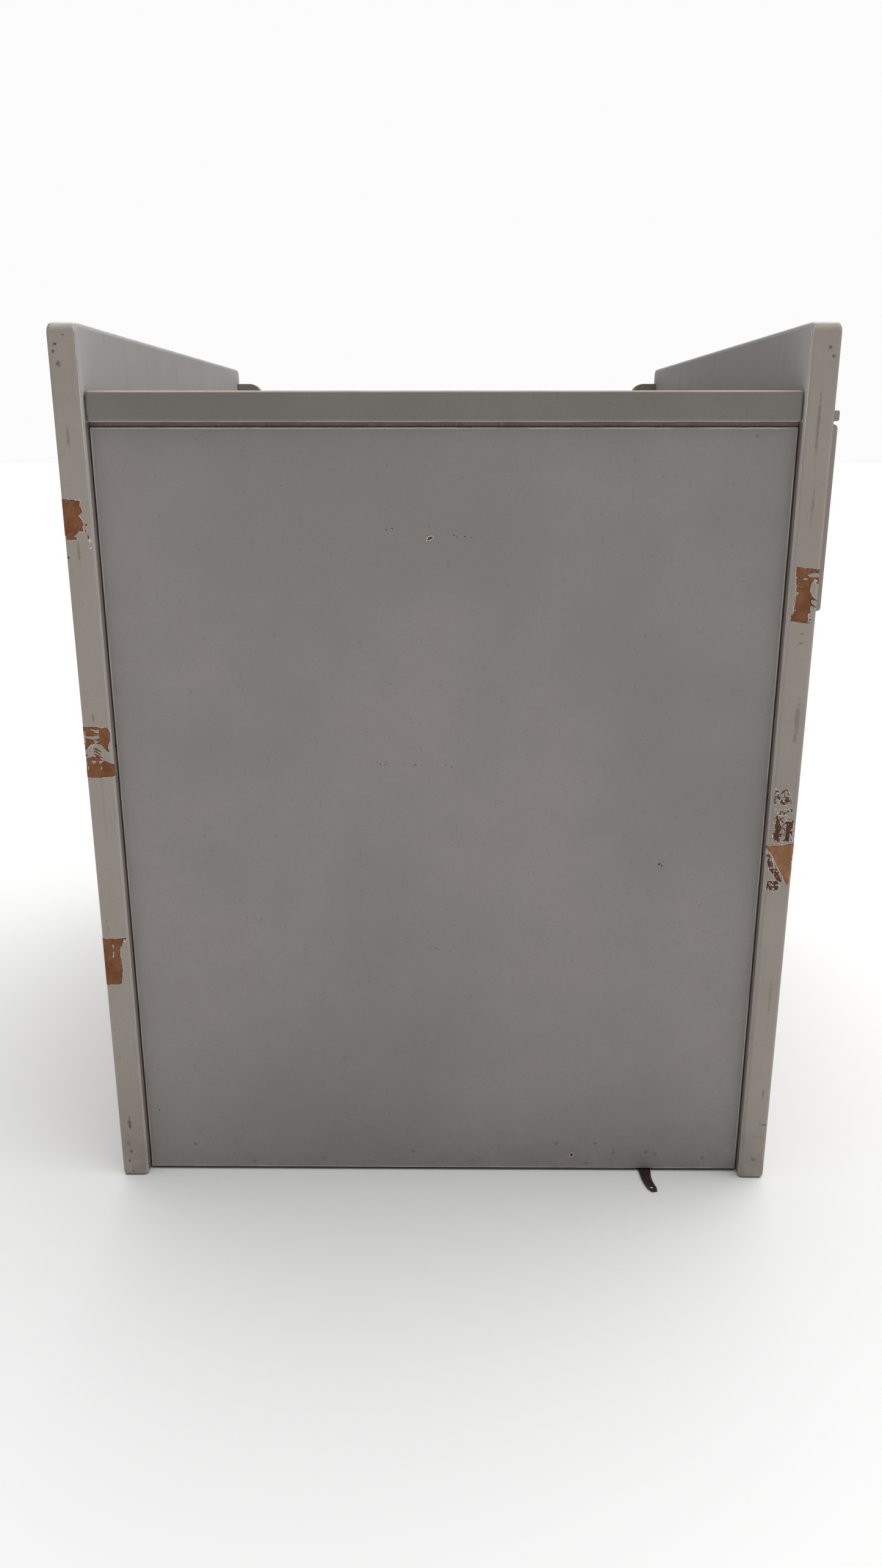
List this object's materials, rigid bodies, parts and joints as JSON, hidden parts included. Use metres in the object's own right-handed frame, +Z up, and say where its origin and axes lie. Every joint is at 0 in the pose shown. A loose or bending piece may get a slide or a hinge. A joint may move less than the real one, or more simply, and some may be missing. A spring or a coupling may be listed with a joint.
{
  "type": "projector stand cabinet",
  "caption": "Floor-standing projector cabinet with raised side panels round a top tray, a drawer, hinged doors, a drop-leaf side flap and a swivelling floor lug.",
  "frame": {"origin": "on the floor, under the middle of the bounding box", "axes": "+Z up; -Y is the way the closed back panel faces, +Y the way the doors and drawer open; +X is the side with the drop-leaf flap"},
  "size_m": [0.6756, 0.7913, 0.803],
  "materials": {
    "white_foil": "white melamine foil on 25, 19 and 18 mm fibreboard, worn at the rear edges",
    "grey_foil": "light grey foil on fibreboard",
    "dark_board": "dark brown fibreboard strip that closes the joint under the top board",
    "beech": "bare beech and birch plywood",
    "nickel": "nickel-plated steel, satin",
    "zinc": "zinc-plated steel",
    "brown_steel": "dark brown steel, worn",
    "magnet_plastic": "white plastic",
    "grey_plastic": "dark grey plastic",
    "rubber": "black rubber"
  },
  "bodies": {
    "carcass": {"side_left": "white_foil", "side_right": "white_foil", "top_board": "grey_foil", "bottom_board": "white_foil", "back_panel": "grey_foil", "joint_strip": "dark_board", "drawer_divider": "white_foil", "front_lip": "white_foil", "plinth": "white_foil", "top_batten": "beech", "shelf": "white_foil", "shelf_pin_back_left": "nickel", "shelf_pin_back_right": "nickel", "shelf_pin_front_left": "nickel", "shelf_pin_front_right": "nickel", "runner_left": "grey_plastic", "runner_right": "grey_plastic", "magnet_catch_left": "magnet_plastic", "magnet_catch_right": "magnet_plastic", "lock_strike": "zinc", "flap_cleat": "white_foil", "flap_bumper_back": "rubber", "flap_bumper_front": "rubber", "flap_hinge_fixed_leaf": "nickel", "flap_hinge_pin": "zinc", "stay_bracket": "zinc", "stay_rivet": "zinc", "hinge_left_fixed_leaf": "nickel", "hinge_left_pin": "zinc", "hinge_right_fixed_leaf": "nickel", "hinge_right_pin": "zinc", "lug_block": "beech", "lug_screw": "zinc"},
    "drawer": {"drawer_front": "white_foil", "drawer_side_left": "beech", "drawer_side_right": "beech", "drawer_back": "beech", "drawer_bottom": "beech", "drawer_handle": "nickel"},
    "left_door": {"door_left": "white_foil", "door_left_handle": "nickel", "door_left_strike": "zinc", "hinge_left_door_leaf": "nickel"},
    "right_door": {"door_right": "white_foil", "door_right_handle": "nickel", "door_right_strike": "zinc", "hinge_right_door_leaf": "nickel", "lock_housing": "nickel"},
    "lock": {"lock_plug": "nickel", "lock_cam": "zinc"},
    "side_flap": {"flap_leaf": "white_foil", "flap_hinge_moving_leaf": "nickel", "stay_knob": "grey_plastic"},
    "flap_stay": {"stay_arm": "zinc"},
    "lug": {"floor_lug": "brown_steel"}
  },
  "joints": [
    {"name": "drawer_slide", "type": "slide", "parent": "carcass", "child": "drawer", "axis": [0, 1, 0], "range_m": [0, 0.42]},
    {"name": "left_door_hinge", "type": "hinge", "parent": "carcass", "child": "left_door", "pos_m": [-0.3092, 0.3793, 0.284], "axis": [0, 0, 1], "range_deg": [0, 110]},
    {"name": "right_door_hinge", "type": "hinge", "parent": "carcass", "child": "right_door", "pos_m": [0.2776, 0.3793, 0.284], "axis": [0, 0, -1], "range_deg": [0, 110]},
    {"name": "lock_turn", "type": "hinge", "parent": "right_door", "child": "lock", "pos_m": [0.0142, 0.376, 0.47], "axis": [0, 1, 0], "range_deg": [0, 90]},
    {"name": "flap_swing", "type": "hinge", "parent": "carcass", "child": "side_flap", "pos_m": [0.3354, 0.019, 0.725], "axis": [0, -1, 0], "range_deg": [0, 90]},
    {"name": "stay_turn", "type": "hinge", "parent": "carcass", "child": "flap_stay", "pos_m": [0.3182, 0.321, 0.78248], "axis": [0, -1, 0], "range_deg": [0, 45]},
    {"name": "lug_swivel", "type": "hinge", "parent": "carcass", "child": "lug", "pos_m": [0.1832, -0.319, 0.005], "axis": [0, 0, 1], "range_deg": [-97, 82]}
  ],
  "couplings": [
    {"joint": "stay_turn", "follows": "flap_swing", "ratio": 0.5}
  ]
}
